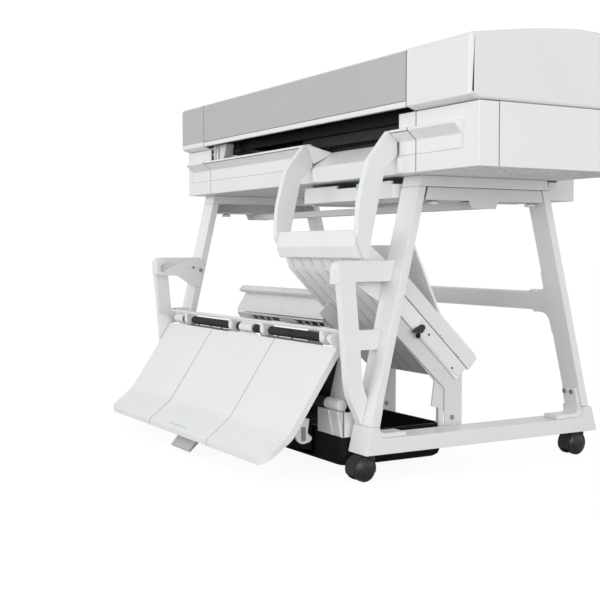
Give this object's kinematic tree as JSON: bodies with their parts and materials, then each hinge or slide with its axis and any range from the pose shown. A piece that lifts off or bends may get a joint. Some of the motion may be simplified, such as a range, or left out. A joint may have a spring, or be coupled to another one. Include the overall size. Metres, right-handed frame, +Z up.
{
  "type": "large format plotter",
  "caption": "Wide-format inkjet plotter on a castered A-frame stand, with guide arms, a sloping chute and a front stacking tray below it.",
  "frame": {"origin": "centre of the footprint of the whole machine, at the floor", "axes": "+X along the carriage towards the ink door end, -Y towards the front where the sheets come out, +Z up"},
  "size_m": [1.4, 0.8964, 0.972],
  "materials": {
    "white_shell": "moulded, fine matt grain",
    "soft_white_shell": "moulded, satin",
    "grey_panel": "matt warm grey",
    "stand_paint": "white powder coat",
    "sheet_steel_white": "white painted sheet metal",
    "dark_plastic": "moulded charcoal",
    "black_plastic": "moulded black",
    "roller_rubber": "matt rubber sleeves on a shaft",
    "caster_tread": "hard black nylon",
    "bare_steel": "ground steel",
    "paper": "uncoated white paper"
  },
  "bodies": {
    "chassis": {"foot_rail_right": "stand_paint", "foot_rail_left": "stand_paint", "front_leg_right": "stand_paint", "front_leg_left": "stand_paint", "rear_leg_right": "stand_paint", "rear_leg_left": "stand_paint", "side_beam_right": "stand_paint", "side_beam_left": "stand_paint", "rear_brace": "stand_paint", "top_crossbeam": "sheet_steel_white", "transport_duct": "sheet_steel_white", "support_frame": "sheet_steel_white", "hook_bracket_right": "white_shell", "hook_bracket_left": "white_shell", "front_panel": "white_shell", "fascia_left": "white_shell", "side_panel_right": "white_shell", "side_panel_left": "white_shell", "roller_bar": "white_shell", "chute": "white_shell", "base_pan": "soft_white_shell", "supply_box": "soft_white_shell", "rear_panel": "soft_white_shell", "upper_end_left": "soft_white_shell", "upper_end_right": "soft_white_shell", "roll_cradle": "dark_plastic", "carriage_rail": "dark_plastic", "ink_station": "dark_plastic", "lower_tube": "dark_plastic", "platen": "black_plastic", "power_inlet": "black_plastic", "base_tub": "black_plastic"},
    "caster_fork_front_right": {"caster_housing_front_right": "dark_plastic"},
    "caster_wheel_front_right": {"caster_wheels_front_right": "caster_tread"},
    "caster_fork_rear_right": {"caster_housing_rear_right": "dark_plastic"},
    "caster_wheel_rear_right": {"caster_wheels_rear_right": "caster_tread"},
    "caster_fork_front_left": {"caster_housing_front_left": "dark_plastic"},
    "caster_wheel_front_left": {"caster_wheels_front_left": "caster_tread"},
    "caster_fork_rear_left": {"caster_housing_rear_left": "dark_plastic"},
    "caster_wheel_rear_left": {"caster_wheels_rear_left": "caster_tread"},
    "ink_door": {"ink_door": "white_shell"},
    "lid": {"lid": "grey_panel"},
    "roll_cover": {"roll_cover": "soft_white_shell"},
    "roll": {"roll_spindle": "dark_plastic", "paper_roll": "paper"},
    "drive_roller": {"drive_roller": "bare_steel"},
    "carriage": {"carriage": "dark_plastic"},
    "power_button": {"power_button": "grey_panel"},
    "cassette": {"sheet_cassette": "white_shell"},
    "guide_loop": {"guide_arm_left": "white_shell", "guide_arm_right": "white_shell", "guide_crossbar": "white_shell"},
    "cover_left": {"curved_cover_left": "soft_white_shell"},
    "cover_right": {"curved_cover_right": "soft_white_shell"},
    "feed_roller": {"feed_roller": "roller_rubber"},
    "front_tray": {"tray_panel_left": "white_shell", "tray_panel_middle": "white_shell", "tray_panel_right": "white_shell"},
    "tray_release": {"tray_release": "grey_panel"},
    "latch_lever": {"latch_lever": "dark_plastic"}
  },
  "joints": [
    {"name": "swivel_front_right", "type": "hinge", "parent": "chassis", "child": "caster_fork_front_right", "pos_m": [0.407, -0.21116, 0.05], "axis": [0, 0, 1], "continuous": true},
    {"name": "roll_front_right", "type": "hinge", "parent": "caster_fork_front_right", "child": "caster_wheel_front_right", "pos_m": [0.407, -0.23116, 0.0275], "axis": [1, 0, 0], "continuous": true},
    {"name": "swivel_rear_right", "type": "hinge", "parent": "chassis", "child": "caster_fork_rear_right", "pos_m": [0.407, 0.41884, 0.05], "axis": [0, 0, 1], "continuous": true},
    {"name": "roll_rear_right", "type": "hinge", "parent": "caster_fork_rear_right", "child": "caster_wheel_rear_right", "pos_m": [0.407, 0.39884, 0.0275], "axis": [1, 0, 0], "continuous": true},
    {"name": "swivel_front_left", "type": "hinge", "parent": "chassis", "child": "caster_fork_front_left", "pos_m": [-0.653, -0.21116, 0.05], "axis": [0, 0, 1], "continuous": true},
    {"name": "roll_front_left", "type": "hinge", "parent": "caster_fork_front_left", "child": "caster_wheel_front_left", "pos_m": [-0.653, -0.23116, 0.0275], "axis": [1, 0, 0], "continuous": true},
    {"name": "swivel_rear_left", "type": "hinge", "parent": "chassis", "child": "caster_fork_rear_left", "pos_m": [-0.653, 0.41884, 0.05], "axis": [0, 0, 1], "continuous": true},
    {"name": "roll_rear_left", "type": "hinge", "parent": "caster_fork_rear_left", "child": "caster_wheel_rear_left", "pos_m": [-0.653, 0.39884, 0.0275], "axis": [1, 0, 0], "continuous": true},
    {"name": "ink_door_swing", "type": "hinge", "parent": "chassis", "child": "ink_door", "pos_m": [0.7, -0.09716, 0.74], "axis": [0, 0, 1], "range_deg": [0, 100]},
    {"name": "lid_lift", "type": "hinge", "parent": "chassis", "child": "lid", "pos_m": [-0.025, 0.12384, 0.971], "axis": [-1, 0, 0], "range_deg": [0, 70]},
    {"name": "roll_cover_lift", "type": "hinge", "parent": "chassis", "child": "roll_cover", "pos_m": [-0.025, 0.32184, 0.8076], "axis": [-1, 0, 0], "range_deg": [0, 60]},
    {"name": "roll_spin", "type": "hinge", "parent": "chassis", "child": "roll", "pos_m": [-0.053, 0.21584, 0.868], "axis": [1, 0, 0], "continuous": true},
    {"name": "drive_roller_spin", "type": "hinge", "parent": "chassis", "child": "drive_roller", "pos_m": [-0.053, 0.06384, 0.752], "axis": [1, 0, 0], "continuous": true},
    {"name": "carriage_slide", "type": "slide", "parent": "chassis", "child": "carriage", "axis": [-1, 0, 0], "range_m": [0, 1.03]},
    {"name": "power_button_press", "type": "slide", "parent": "chassis", "child": "power_button", "axis": [0, 0, -1], "range_m": [0, 0.0015], "stiffness_N_per_m": 600, "springref_m": -0.001},
    {"name": "cassette_slide", "type": "slide", "parent": "chassis", "child": "cassette", "axis": [0, -1, 0], "range_m": [0, 0.06]},
    {"name": "guide_loop_lift", "type": "hinge", "parent": "chassis", "child": "guide_loop", "pos_m": [0.232, -0.15416, 0.757], "axis": [-1, 0, 0], "range_deg": [0, 60]},
    {"name": "cover_left_tip", "type": "hinge", "parent": "chassis", "child": "cover_left", "pos_m": [-0.458, -0.02516, 0.32], "axis": [1, 0, 0], "range_deg": [0, 50]},
    {"name": "cover_right_tip", "type": "hinge", "parent": "chassis", "child": "cover_right", "pos_m": [-0.15, -0.02516, 0.32], "axis": [1, 0, 0], "range_deg": [0, 50]},
    {"name": "feed_roller_spin", "type": "hinge", "parent": "chassis", "child": "feed_roller", "pos_m": [-0.123, -0.23016, 0.305], "axis": [1, 0, 0], "continuous": true},
    {"name": "front_tray_lift", "type": "hinge", "parent": "chassis", "child": "front_tray", "pos_m": [-0.123, -0.24816, 0.29], "axis": [-1, 0, 0], "range_deg": [0, 30]},
    {"name": "tray_release_pull", "type": "hinge", "parent": "front_tray", "child": "tray_release", "pos_m": [-0.088, -0.40616, 0.057], "axis": [1, 0, 0], "range_deg": [0, 12], "stiffness_Nm_per_rad": 0.6, "springref_deg": -11.46},
    {"name": "latch_lever_turn", "type": "hinge", "parent": "chassis", "child": "latch_lever", "pos_m": [0.367, -0.04216, 0.325], "axis": [1, 0, 0], "range_deg": [0, 40]}
  ]
}
